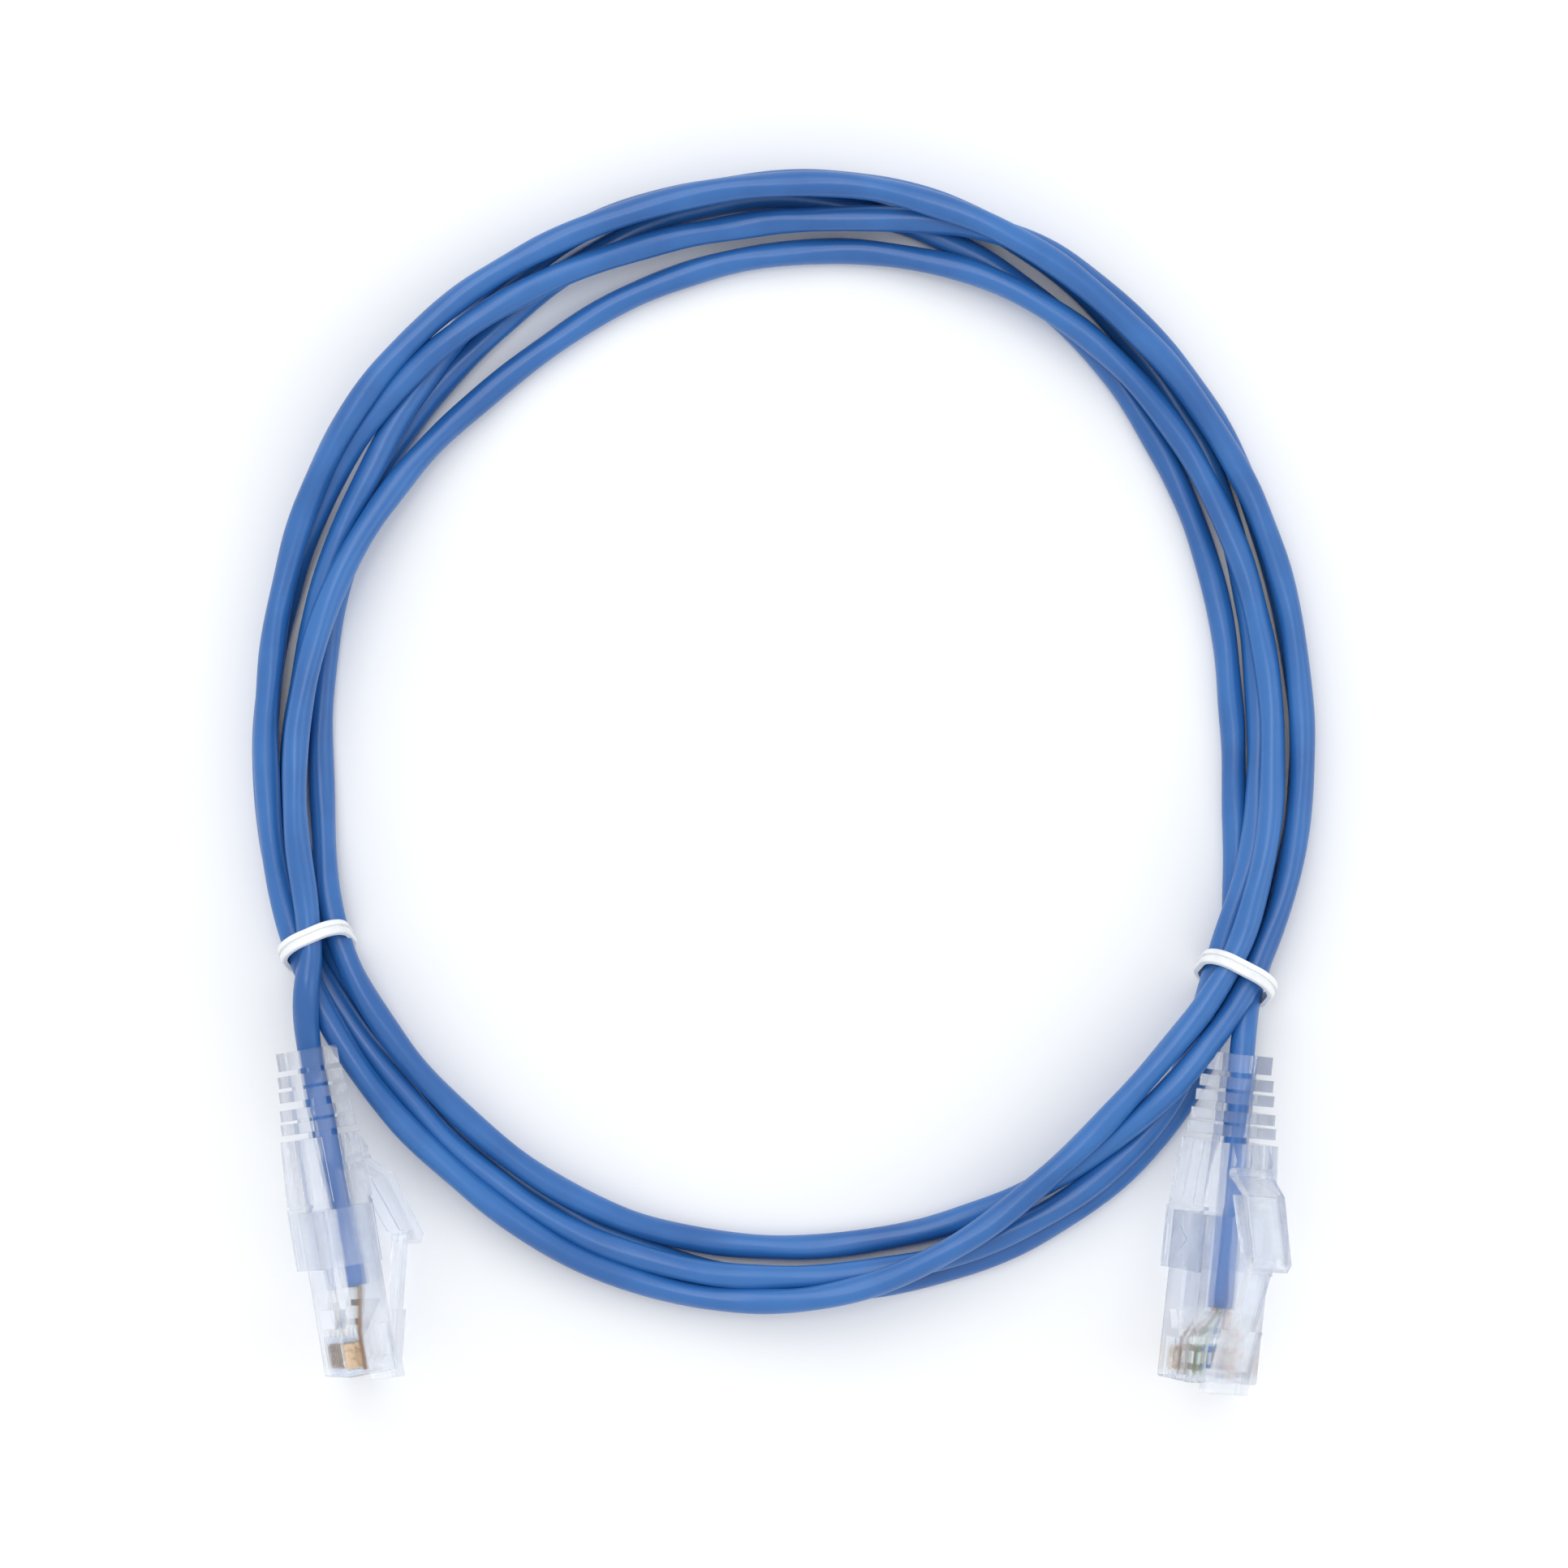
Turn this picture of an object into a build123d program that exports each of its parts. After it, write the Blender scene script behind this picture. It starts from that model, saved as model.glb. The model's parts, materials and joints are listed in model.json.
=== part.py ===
"""Ethernet patch cable, coiled and tied, with a clear modular plug and boot on each end.

Millimetres, +Z up, the cable lying on Z = 0, origin at the centre of its footprint. Each end is
drawn in the plug's own frame: X from the nose back along the cable, Y across the eight
contacts, Z towards the latch, with the origin in the middle of the nose.
"""

import os
from math import atan2, cos, degrees, pi, radians, sin, tan

from build123d import *

os.makedirs("parts", exist_ok=True)

# ---------------------------------------------------------------- cable and coil
jacket_diameter = 3.25
coil_centre = Vector(0, 5.05)
# Outer and inner radius of the laid coil, every 30 degrees clockwise from its far side (+Y).
outer_radii = (74.1, 73.8, 71.0, 68.75, 69.9, 71.9, 73.8, 73.4, 70.2, 68.6, 71.4, 73.3)
inner_radii = (62.0, 64.4, 59.8, 56.9, 61.4, 63.9, 63.5, 62.6, 60.9, 59.0, 59.2, 59.0)
coil_height = 9.0
coil_edge_radius = 2.6

# ---------------------------------------------------------------- ties
tie_thickness = 0.75
tie_band = 2.0
tie_lean = 20  # degrees from square to the strands, the top towards +Y
tie_corner = 3.0
tie_edge_radius = 0.3
tie_groove_width, tie_groove_depth = 0.4, 0.25  # between the band's two ridges
waist_height = 8.8  # the bundle inside a tie
groove_clearance = 0.35
left_tie_angle, left_waist_width, left_tie_slack = 246.7, 8.3, 0.0
right_tie_angle, right_waist_width, right_tie_slack = 117.3, 8.5, 0.6
tie_radius = 65.8  # middle of the bundle, from the coil's centre

# ---------------------------------------------------------------- plug housing
plug_length = 21.5
plug_width = 11.68
plug_thickness = 6.6
plug_corner = 0.4
contact_count = 8
contact_pitch = 1.02
slot_width = 0.56
slot_length = 5.2
slot_depth = 1.7
blade_thickness = 0.35
blade_front, blade_rear = 1.0, 4.2
blade_recess = 0.55  # below the contact face
conductor_diameter = 0.58
conductor_height = 2.8  # of the row of wires, above the contact face
conductor_front = 0.6
conductor_pitch = 0.70  # side by side in the jacket
conductor_rows = 0.64  # between the two rows there
conductor_stagger = 0.36
conductor_bend_radius = 0.5
conductor_lead = 0.5  # straight out of the jacket before the fan
conductor_bend = 5.4  # where the fan meets the row under the contacts
channel_rear = 4.8
channel_clearance = 0.1  # both sides together
cavity_front = 9.2
cavity_side = 0.39  # each side of the row of wires
cavity_roof = 0.45
jacket_headroom, jacket_footroom = 0.225, 0.575  # over and under the jacket in the cavity
relief_front, relief_rear = 6.2, 8.7  # the strain relief's recess on the contact side
relief_front_width, relief_rear_width = 5.4, 7.4
relief_depth = 1.35
wedge_front, wedge_rear, wedge_width, wedge_gap = 11.2, 14.7, 4.4, 0.05

# ---------------------------------------------------------------- latch
latch_hinge_back, latch_hinge_sink = 0.9, 0.2  # from the nose, and below the plug's top face
latch_barrel_radius = 1.0
hinge_clearance = 0.1
latch_width = 6.0
latch_arm_width = 3.4
latch_side_clearance = 0.3
latch_overhang = 1.2  # how far the lip stands out of the nose
latch_lip_sink, latch_lip_rise = 1.2, 1.5  # below and above the top face
latch_rise = 14.0  # degrees, free
latch_thickness = 1.25
latch_shoulder = 7.15
latch_end = 16.85
latch_pocket_rear = 6.0
latch_pocket_depth = 0.7

# ---------------------------------------------------------------- boot
sleeve_front = 14.1
seat_end_wall = 0.55  # behind the plug
sleeve_wall = 0.51
sleeve_floor = 1.45
boot_taper = 0.25  # how far the underside rises to the rear
sleeve_edge_radius = 0.9
recess_depth = 0.25
recess_outline = ((19.6, -3.6), (19.6, -1.2), (18.0, 0.4), (16.6, -0.9), (15.6, -0.9), (15.6, -3.6))
neck_depth, neck_length = 0.35, 0.45
body_rear = 30.9
body_half_width_front, body_half_width_rear = 6.1, 5.3
body_roof = 0.4  # above the plug's top face
body_edge_radius = 1.1
flute_width, flute_depth, flute_level = 2.2, 0.35, -0.6
fin_centres = (41.1, 38.5, 36.6, 34.2, 32.4)
fin_thicknesses = (2.3, 1.5, 1.4, 1.4, 1.4)
fin_width_rear, fin_width_front = 6.8, 9.7
fin_height_rear, fin_height_front = 6.9, 7.9
fin_level = -0.35
fin_corner = 1.2
bridge_width, bridge_reach = 1.6, 2.5
jacket_level_rear = 0.0  # the jacket's axis at the boot's end

# ---------------------------------------------------------------- latch guard hood
hood_hinge = Vector(27.1, 0, 4.3)
hood_barrel_radius = 0.75
hood_root_front, hood_root_rear, hood_root_rise = 1.2, 1.6, 0.55
hood_half_width = 3.1
hood_wall = 0.65
hood_thickness = 1.0
hood_skirt = 2.1
hood_knee = (24.7, 7.7)
hood_tip = (16.3, 10.35)
hood_lip = (15.2, 9.7)
hood_lip_step = 0.5
hood_tip_droop = 0.2

# ---------------------------------------------------------------- how the two ends lie
nose_a, boot_end_a = Vector(-54.46, -75.9, 8.2), Vector(-61.4, -34.4, 6.4)
nose_b, boot_end_b = Vector(54.5, -76.9, 7.9), Vector(59.1, -34.8, 6.9)
roll_a, roll_b = -22.0, 54.0  # degrees from latch outwards to latch up
jacket_cut_a, jacket_cut_b = 11.2, 9.5  # from the nose to the jacket's cut end
tail_lead_a, tail_lead_b = 2.4, 1.5  # straight jacket behind a boot before it bends
boot_room = 0.4  # between a boot's fins and the coil
tail_goal_a, tail_goal_b = Vector(-60.3, -25.0, 5.0), Vector(60.8, -28.7, 4.4)

# ---------------------------------------------------------------- sizes that follow
half_thickness = plug_thickness / 2
conductor_level = conductor_height - half_thickness
cavity_high = half_thickness - cavity_roof
jacket_level_front = cavity_high - jacket_headroom - jacket_diameter / 2
cavity_low = jacket_level_front - jacket_diameter / 2 - jacket_footroom
latch_hinge = Vector(latch_hinge_back, 0, half_thickness - latch_hinge_sink)
latch_lip_low, latch_lip_high = half_thickness - latch_lip_sink, half_thickness + latch_lip_rise
latch_pocket_floor = half_thickness - latch_pocket_depth
sleeve_half_width = plug_width / 2 + sleeve_wall
sleeve_rear = plug_length + seat_end_wall
body_front = sleeve_rear + neck_length
body_high = half_thickness + body_roof
boot_low_front = -half_thickness - sleeve_floor
boot_low_rear = boot_low_front + boot_taper

up = Vector(0, 0, 1)


def end_plane(nose, boot_end, roll):
    """The frame of one plug: X back along the cable, Z towards the latch."""
    back = (boot_end - nose).normalized()
    side = back.cross(up).normalized()
    above = side.cross(back)
    return Plane(nose, x_dir=back, z_dir=side * cos(radians(roll)) + above * sin(radians(roll)))


def coil_point(angle, radius, height=0):
    """A point of the coil, by its angle clockwise from +Y and its radius."""
    turn = radians(angle)
    return Vector(coil_centre.X + radius * sin(turn), coil_centre.Y + radius * cos(turn), height)


def coil_outline(radii):
    """The ring's smooth edge through its radii, which are evenly spaced round the coil."""
    step = 360 / len(radii)
    return [coil_point(i * step, radius) for i, radius in enumerate(radii)]


def save(part, name):
    part.label = name
    export_step(part, f"parts/{name}.step")


# ---------------------------------------------------------------- ties and the coil
def outer_wall(tie, inner_width, point):
    """Whether a point is on the outside of a tie, past the middle of its thickness."""
    local = tie.plane.to_local_coords(point)
    middle_width = inner_width + tie_thickness
    middle_height = waist_height + tie_thickness
    corner = tie_corner + tie_thickness / 2
    past_x = max(abs(local.X) - middle_width / 2 + corner, 0)
    past_y = max(abs(local.Y) - middle_height / 2 + corner, 0)
    return (past_x**2 + past_y**2) ** 0.5 > corner


class Tie:
    """Where one tie goes round the bundle, and the outlines of bundle and tie there."""

    def __init__(self, angle, width, slack, forward):
        self.width, self.slack = width, slack
        radial = (coil_point(angle, 1) - coil_point(angle, 0)).normalized()
        along = up.cross(radial) * forward
        axis = along * cos(radians(tie_lean)) - up * sin(radians(tie_lean))
        outer_height = waist_height + 2 * tie_thickness
        corner_drop = tie_corner + tie_thickness
        straight = outer_height / 2 - corner_drop
        rise = straight * cos(radians(tie_lean)) + corner_drop * cos(radians(tie_lean))
        level = rise + tie_band / 2 * sin(radians(tie_lean))
        self.plane = Plane(coil_point(angle, tie_radius, level), x_dir=radial, z_dir=axis)


plane_a = end_plane(nose_a, boot_end_a, roll_a)
plane_b = end_plane(nose_b, boot_end_b, roll_b)
boot_length = (boot_end_a - nose_a).length
left_tie = Tie(left_tie_angle, left_waist_width, left_tie_slack, -1)
right_tie = Tie(right_tie_angle, right_waist_width, right_tie_slack, 1)
groove_width = tie_band + 2 * groove_clearance
reach = 4 * coil_height  # longer than anything it has to pass through
yz = Plane.YZ.location

with BuildPart() as jacket_coil:
    with BuildSketch():
        with BuildLine():
            Spline(*coil_outline(outer_radii), periodic=True)
        make_face()
        with BuildLine():
            Spline(*coil_outline(inner_radii), periodic=True)
        make_face(mode=Mode.SUBTRACT)
    extrude(amount=coil_height)
    fillet(jacket_coil.edges().filter_by(lambda e: abs(e.length) > coil_height), coil_edge_radius)
    for tie in (left_tie, right_tie):
        with BuildSketch(tie.plane):
            Rectangle(reach, reach)
            RectangleRounded(tie.width, waist_height, tie_corner, mode=Mode.SUBTRACT)
        extrude(amount=groove_width / 2, both=True, mode=Mode.SUBTRACT)
    # room for the boots, whose ends lie over the edge of the coil
    for plane in (plane_a, plane_b):
        with BuildSketch(Plane(plane.location * Pos(body_rear, 0, fin_level) * yz)):
            Rectangle(fin_width_front + 2 * boot_room, fin_height_front + 2 * boot_room)
        with BuildSketch(Plane(plane.location * Pos(boot_length + boot_room, 0, fin_level) * yz)):
            Rectangle(fin_width_rear + 2 * boot_room, fin_height_rear + 2 * boot_room)
        loft(mode=Mode.SUBTRACT)
save(jacket_coil.part, "jacket_coil")

for tie, side in ((left_tie, "left"), (right_tie, "right")):
    with BuildPart() as band:
        with BuildSketch(tie.plane):
            inner_width = tie.width + tie.slack
            RectangleRounded(inner_width + 2 * tie_thickness, waist_height + 2 * tie_thickness,
                             tie_corner + tie_thickness)
            RectangleRounded(inner_width, waist_height, tie_corner, mode=Mode.SUBTRACT)
        extrude(amount=tie_band / 2, both=True)
        rims = band.edges().group_by(Axis(tie.plane.origin, tie.plane.z_dir))
        outer_rims = [e for rim in (rims[0], rims[-1]) for e in rim
                      if outer_wall(tie, inner_width, e.center())]
        fillet(outer_rims, tie_edge_radius)
        with BuildSketch(tie.plane):
            RectangleRounded(inner_width + 4 * tie_thickness, waist_height + 4 * tie_thickness,
                             tie_corner + 2 * tie_thickness)
            RectangleRounded(inner_width + 2 * tie_thickness - 2 * tie_groove_depth,
                             waist_height + 2 * tie_thickness - 2 * tie_groove_depth,
                             tie_corner + tie_thickness - tie_groove_depth, mode=Mode.SUBTRACT)
        extrude(amount=tie_groove_width / 2, both=True, mode=Mode.SUBTRACT)
    save(band.part, f"tie_{side}")

# ---------------------------------------------------------------- plug housing
contact_places = [(i - (contact_count - 1) / 2) * contact_pitch for i in range(contact_count)]
channel_width = (contact_count - 1) * contact_pitch + conductor_diameter + channel_clearance
channel_height = conductor_diameter + channel_clearance
cavity_width = channel_width + 2 * cavity_side
cavity_middle = (cavity_low + cavity_high) / 2
jacket_slope = degrees(atan2(jacket_level_rear - jacket_level_front, boot_length - jacket_cut_b))
jacket_start = Vector(jacket_cut_b, 0, jacket_level_front)
jacket_axis = Vector(cos(radians(jacket_slope)), 0, sin(radians(jacket_slope)))
jacket_plane = Plane(jacket_start, x_dir=(0, 1, 0), z_dir=jacket_axis)


def on_jacket(u):
    """The point of the jacket's axis at a distance u behind the nose."""
    return jacket_start + jacket_axis * ((u - jacket_cut_b) / jacket_axis.X)


with BuildPart() as housing:
    with BuildSketch(Plane.YZ):
        Rectangle(plug_width, plug_thickness)
    extrude(amount=plug_length)
    fillet(housing.edges().filter_by(Axis.X), plug_corner)
    chamfer(housing.faces().sort_by(Axis.X)[0].edges(), plug_corner / 2)
    # the wires' channel, widening into the jacket's cavity
    with BuildSketch(Plane.YZ.offset(conductor_front)):
        with Locations((0, conductor_level)):
            Rectangle(channel_width, channel_height)
    extrude(amount=channel_rear - conductor_front, mode=Mode.SUBTRACT)
    with BuildSketch(Plane.YZ.offset(channel_rear)):
        with Locations((0, conductor_level)):
            Rectangle(channel_width, channel_height)
    with BuildSketch(Plane.YZ.offset(cavity_front)):
        with Locations((0, cavity_middle)):
            Rectangle(cavity_width, cavity_high - cavity_low)
    loft(mode=Mode.SUBTRACT)
    with BuildSketch(Plane.YZ.offset(cavity_front)):
        with Locations((0, cavity_middle)):
            Rectangle(cavity_width, cavity_high - cavity_low)
    extrude(amount=plug_length - cavity_front, mode=Mode.SUBTRACT)
    # contact slots, open at the nose, with a narrow pocket that grips each blade
    with BuildSketch(Plane.XY.offset(-half_thickness)):
        with Locations([(slot_length / 2, y) for y in contact_places]):
            Rectangle(slot_length, slot_width)
    extrude(amount=slot_depth, mode=Mode.SUBTRACT)
    with BuildSketch(Plane.XY.offset(-half_thickness)):
        with Locations([((blade_front + blade_rear) / 2, y) for y in contact_places]):
            Rectangle(blade_rear - blade_front, blade_thickness)
    extrude(amount=half_thickness + conductor_level, mode=Mode.SUBTRACT)
    # recess of the strain relief on the contact side, and the wedge inside that holds the jacket
    with BuildSketch(Plane.XY.offset(-half_thickness)):
        with BuildLine():
            Polyline((relief_front, -relief_front_width / 2), (relief_rear, -relief_rear_width / 2),
                     (relief_rear, relief_rear_width / 2), (relief_front, relief_front_width / 2),
                     close=True)
        make_face()
    extrude(amount=relief_depth, mode=Mode.SUBTRACT)
    wedge_high = on_jacket(wedge_rear).Z - jacket_diameter / 2 - wedge_gap
    with BuildSketch(Plane.XZ):
        with BuildLine():
            Polyline((wedge_front, cavity_low), (wedge_rear, wedge_high), (wedge_rear, cavity_low),
                     close=True)
        make_face()
    extrude(amount=wedge_width / 2, both=True)
    # seat of the latch's root and the hollow under the latch
    notch_width = latch_width + 2 * latch_side_clearance
    notch_low = latch_lip_low - latch_side_clearance
    with BuildSketch(Plane.XZ):
        with Locations((latch_hinge.X / 2, (notch_low + plug_thickness) / 2)):
            Rectangle(latch_hinge.X, plug_thickness - notch_low)
        with Locations(((latch_hinge.X + latch_pocket_rear) / 2,
                        (latch_pocket_floor + plug_thickness) / 2)):
            Rectangle(latch_pocket_rear - latch_hinge.X, plug_thickness - latch_pocket_floor)
        with Locations((latch_hinge.X, latch_hinge.Z)):
            Circle(latch_barrel_radius + hinge_clearance)
    extrude(amount=notch_width / 2, both=True, mode=Mode.SUBTRACT)

# ---------------------------------------------------------------- latch
lever_low = latch_lip_high - latch_thickness
lever_length = latch_end - latch_hinge.X
lever_climb = lever_length * tan(radians(latch_rise))
shoulder_run = latch_shoulder - latch_hinge.X
shoulder_climb = shoulder_run * tan(radians(latch_rise))
with BuildPart() as latch:
    with BuildSketch(Plane.XZ):
        with Locations((latch_hinge.X, latch_hinge.Z)):
            Circle(latch_barrel_radius)
        with BuildLine():
            Polyline((-latch_overhang, latch_lip_low), (-latch_overhang, latch_lip_high),
                     (latch_hinge.X, latch_lip_high), (latch_hinge.X, latch_lip_low), close=True)
        make_face()
        with BuildLine():
            Polyline((latch_hinge.X, latch_lip_high), (latch_hinge.X, lever_low),
                     (latch_shoulder, lever_low + shoulder_climb),
                     (latch_shoulder, latch_lip_high + shoulder_climb), close=True)
        make_face()
    extrude(amount=latch_width / 2, both=True)
    with BuildSketch(Plane.XZ):
        with BuildLine():
            Polyline((latch_hinge.X, latch_lip_high), (latch_hinge.X, lever_low),
                     (latch_end, lever_low + lever_climb),
                     (latch_end, latch_lip_high + lever_climb), close=True)
        make_face()
    extrude(amount=latch_arm_width / 2, both=True)

# ---------------------------------------------------------------- contacts and conductors
blade_low = -half_thickness + blade_recess
blade_high = conductor_level - conductor_diameter / 2
contacts = []
for y in contact_places:
    with BuildPart() as blade:
        with BuildSketch(Plane.XZ.offset(-y)):
            with Locations(((blade_front + blade_rear) / 2, (blade_low + blade_high) / 2)):
                RectangleRounded(blade_rear - blade_front, blade_high - blade_low, plug_corner)
        extrude(amount=blade_thickness / 2, both=True)
    contacts.append(blade.part)


def conductors(cut):
    """The eight wires, from two rows at the jacket's cut end to one row under the contacts."""
    middle = on_jacket(cut)
    wires = []
    for i, y in enumerate(contact_places):
        row, column = i % 2, i // 2
        side = (column - (contact_count / 2 - 1) / 2) * conductor_pitch
        side += (row - 1 / 2) * conductor_stagger
        level = middle.Z + (row - 1 / 2) * conductor_rows
        start = jacket_plane.offset((cut - jacket_cut_b) / jacket_axis.X).from_local_coords(
            (side, level - middle.Z))
        with BuildPart() as wire:
            with BuildLine():
                FilletPolyline(start, start - jacket_axis * conductor_lead,
                               (conductor_bend, y, conductor_level),
                               (conductor_front, y, conductor_level), radius=conductor_bend_radius)
            with BuildSketch(Plane.YZ.offset(conductor_front)):
                with Locations((y, conductor_level)):
                    Circle(conductor_diameter / 2)
            sweep()
        wires.append(wire.part)
    return wires


# ---------------------------------------------------------------- boot
with BuildPart() as boot:
    # front sleeve: three walls round the plug, open on the latch side
    with BuildSketch(Plane.YZ.offset(sleeve_front)):
        with Locations((0, (boot_low_front + half_thickness) / 2)):
            Rectangle(2 * sleeve_half_width, half_thickness - boot_low_front)
    extrude(amount=sleeve_rear - sleeve_front)
    fillet(boot.edges().filter_by(Axis.X).group_by(Axis.Z)[0], sleeve_edge_radius)
    # body behind it, narrowing to the rear, and the neck between the two
    for u, half, low in ((body_front, body_half_width_front, boot_low_front),
                         (body_rear, body_half_width_rear, boot_low_rear)):
        with BuildSketch(Plane.YZ.offset(u)):
            with Locations((0, (low + body_high) / 2)):
                RectangleRounded(2 * half, body_high - low, body_edge_radius)
            with Locations((-half, flute_level), (half, flute_level)):
                Rectangle(2 * flute_depth, flute_width, mode=Mode.SUBTRACT)
    loft()
    with BuildSketch(Plane.YZ.offset(sleeve_rear)):
        with Locations((0, (boot_low_front + body_high) / 2)):
            Rectangle(2 * (body_half_width_front - neck_depth),
                      body_high - boot_low_front - 2 * neck_depth)
    extrude(amount=body_front - sleeve_rear)
    # root of the hood
    with BuildSketch(Plane.XZ):
        with BuildLine():
            Polyline((body_rear, 0), (body_rear, body_high),
                     (hood_hinge.X + hood_root_rear, hood_hinge.Z + hood_root_rise),
                     (hood_hinge.X, hood_hinge.Z), (hood_hinge.X - hood_root_front, body_high),
                     (hood_hinge.X - hood_root_front, 0), close=True)
        make_face()
    extrude(amount=hood_half_width, both=True)
    with BuildSketch(Plane.XZ):
        with Locations((hood_hinge.X, hood_hinge.Z)):
            Circle(hood_barrel_radius + hinge_clearance)
    extrude(amount=plug_width, both=True, mode=Mode.SUBTRACT)
    # strain relief: fins held together by bridges that alternate from side to side
    spread = fin_centres[0] - fin_centres[-1]
    for centre, thickness in zip(fin_centres, fin_thicknesses):
        share = (fin_centres[0] - centre) / spread
        width = fin_width_rear + share * (fin_width_front - fin_width_rear)
        height = fin_height_rear + share * (fin_height_front - fin_height_rear)
        with BuildSketch(Plane.YZ.offset(centre - thickness / 2)):
            with Locations((0, fin_level)):
                RectangleRounded(width, height, fin_corner)
        extrude(amount=thickness)
    gap_starts = [c + t / 2 for c, t in zip(fin_centres[1:], fin_thicknesses[1:])] + [body_rear]
    gap_ends = [c - t / 2 for c, t in zip(fin_centres, fin_thicknesses)]
    for i, (start, end) in enumerate(zip(gap_starts, gap_ends)):
        with BuildSketch(Plane.YZ.offset(start)):
            with Locations((0, fin_level)):
                if i % 2:
                    Rectangle(bridge_width, 2 * bridge_reach)
                else:
                    Rectangle(2 * bridge_reach, bridge_width)
        extrude(amount=end - start)
    # arrow-shaped recess in each side of the sleeve
    for side in (-1, 1):
        with BuildSketch(Plane.XZ.offset(-side * (sleeve_half_width - recess_depth / 2))):
            with BuildLine():
                Polyline(*recess_outline, close=True)
            make_face()
        extrude(amount=recess_depth / 2, both=True, mode=Mode.SUBTRACT)
    # the plug's seat and the jacket's bore
    with BuildSketch(Plane.YZ.offset(sleeve_front)):
        Rectangle(plug_width, plug_thickness)
    extrude(amount=plug_length - sleeve_front, mode=Mode.SUBTRACT)
    with BuildSketch(jacket_plane):
        Circle(jacket_diameter / 2)
    extrude(amount=2 * boot_length, mode=Mode.SUBTRACT)

# ---------------------------------------------------------------- hood
knee_x, knee_z = hood_knee
tip_x, tip_z = hood_tip
lip_x, lip_z = hood_lip
slope = atan2(tip_z - knee_z, knee_x - tip_x)
drop_x, drop_z = hood_thickness * sin(slope), hood_thickness * cos(slope)
with BuildPart() as hood:
    with BuildSketch(Plane.XZ):
        with Locations((hood_hinge.X, hood_hinge.Z)):
            Circle(hood_barrel_radius)
        with BuildLine():
            Polyline((hood_hinge.X, hood_hinge.Z + hood_barrel_radius),
                     (knee_x, knee_z), (tip_x, tip_z), (lip_x, lip_z),
                     (lip_x + hood_lip_step, lip_z - hood_lip_step),
                     (tip_x - drop_x + hood_thickness, tip_z - drop_z - hood_tip_droop),
                     (knee_x - drop_x, knee_z - drop_z),
                     (hood_hinge.X - hood_barrel_radius, hood_hinge.Z), close=True)
        make_face()
    extrude(amount=hood_half_width, both=True)
    for side in (-1, 1):
        with BuildSketch(Plane.XZ.offset(-side * (hood_half_width - hood_wall / 2))):
            with BuildLine():
                Polyline((knee_x, knee_z), (tip_x, tip_z), (tip_x - drop_x, tip_z - drop_z),
                         (tip_x + hood_thickness, tip_z - hood_skirt - drop_z),
                         (knee_x - drop_x, knee_z - hood_skirt - drop_z), close=True)
            make_face()
        extrude(amount=hood_wall / 2, both=True)

# ---------------------------------------------------------------- place everything
ends = (
    ("a", plane_a, jacket_cut_a, tail_lead_a, tail_goal_a),
    ("b", plane_b, jacket_cut_b, tail_lead_b, tail_goal_b),
)
for tag, plane, cut, lead, goal in ends:
    pieces = {"housing": housing.part, "latch": latch.part, "boot": boot.part, "hood": hood.part}
    pieces.update({f"contact_{i + 1}": blade for i, blade in enumerate(contacts)})
    pieces.update({f"conductor_{i + 1}": wire for i, wire in enumerate(conductors(cut))})
    for name, piece in pieces.items():
        with BuildPart() as placed:
            with Locations(plane.location):
                add(piece)
        save(placed.part, f"{name}_{tag}")
    # jacket: straight through plug and boot, then one bend into the coil
    cut_end = plane.from_local_coords(on_jacket(cut))
    bend = plane.from_local_coords(on_jacket(boot_length + lead))
    start = (cut_end - bend).normalized()
    leave = (goal - bend).normalized()
    turn = 180 - start.get_angle(leave)
    shorter = min((goal - bend).length, (cut_end - bend).length)
    bend_radius = 0.45 * shorter / tan(radians(turn / 2))
    with BuildPart() as jacket:
        with BuildLine() as route:
            FilletPolyline(cut_end, bend, goal, radius=bend_radius)
        with BuildSketch(Plane(cut_end, z_dir=bend - cut_end)):
            Circle(jacket_diameter / 2)
        sweep()
        whole = jacket.part.volume
        add(jacket_coil.part, mode=Mode.SUBTRACT)
    section = pi * jacket_diameter**2 / 4
    print(f"jacket_{tag}: turn {turn:.1f} deg, bend radius {bend_radius:.1f},",
          f"length {route.wires()[0].length:.1f}, volume over section x length",
          round(whole / section / route.wires()[0].length, 3), "solids", len(jacket.solids()))
    save(jacket.part, f"jacket_{tag}")
    for joint, hinge in (("latch", latch_hinge), ("hood", hood_hinge)):
        at = plane.from_local_coords(hinge)
        print(f"{joint}_{tag} hinge at", tuple(round(c, 4) for c in at),
              "axis", tuple(round(c, 6) for c in plane.y_dir))
    print(f"nose_{tag}", tuple(round(c, 4) for c in plane.origin),
          "into the jack", tuple(round(-c, 6) for c in plane.x_dir))
    flat = plane.from_local_coords(Vector(0, 0, (conductor_level + latch_lip_low) / 2))
    print(f"face_{tag}", tuple(round(c, 4) for c in flat))
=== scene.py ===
"""Ethernet patch cable, coiled and tied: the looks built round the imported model.

Metres, +Z up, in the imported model's own frame. The housings, latches, boots, hoods, contacts,
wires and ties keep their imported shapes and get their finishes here. The jacket is drawn as one
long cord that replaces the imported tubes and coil.
"""

import json
import logging
import math
from dataclasses import dataclass, field
from enum import Enum
from typing import Dict, List, Optional, Sequence, Tuple, Union

import bpy
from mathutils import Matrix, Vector, noise

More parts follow.
